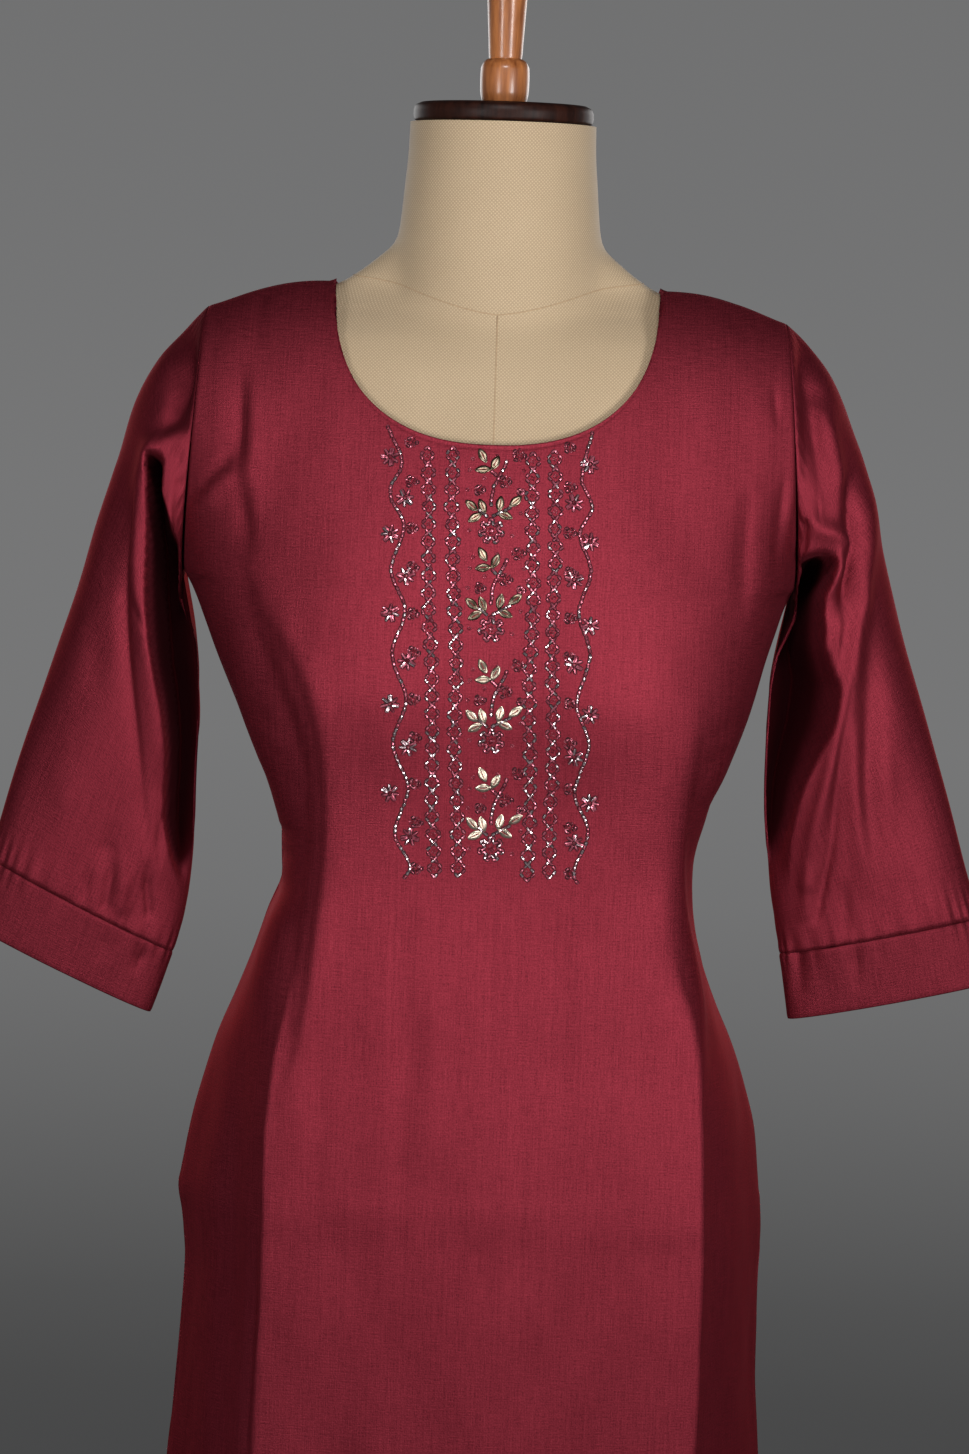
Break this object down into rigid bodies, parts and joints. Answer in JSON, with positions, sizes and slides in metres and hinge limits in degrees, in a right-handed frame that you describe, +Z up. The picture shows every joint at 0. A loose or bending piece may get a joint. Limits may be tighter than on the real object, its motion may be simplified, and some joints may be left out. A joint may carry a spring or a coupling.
{
  "type": "kurta tunic on dress form",
  "caption": "Knee-length silk kurta tunic with scooped neck, embroidered front panel, three-quarter sleeves and side slits, worn by a limbless canvas dress form on a round stand.",
  "frame": {"origin": "middle of the underside of the round base, on the floor", "axes": "+Z up, the garment's front faces -Y, the wearer's left is +X"},
  "size_m": [0.6751, 0.43, 1.624],
  "materials": {
    "kurta_cloth": "maroon silk, plain weave with fine slubs, low sheen",
    "form_canvas": "cream cotton canvas, matt",
    "cap_wood": "dark stained, satin",
    "finial_wood": "varnished",
    "pole_metal": "black satin paint",
    "base_wood": "dark stained, satin"
  },
  "bodies": {
    "root": {"kurta_front": "kurta_cloth", "kurta_back": "kurta_cloth", "sleeve_right": "kurta_cloth", "sleeve_left": "kurta_cloth", "sleeve_band_right": "kurta_cloth", "sleeve_band_left": "kurta_cloth", "form_torso": "form_canvas", "neck_cap": "cap_wood", "finial": "finial_wood", "stand_pole": "pole_metal", "stand_base": "base_wood"}
  },
  "joints": []
}
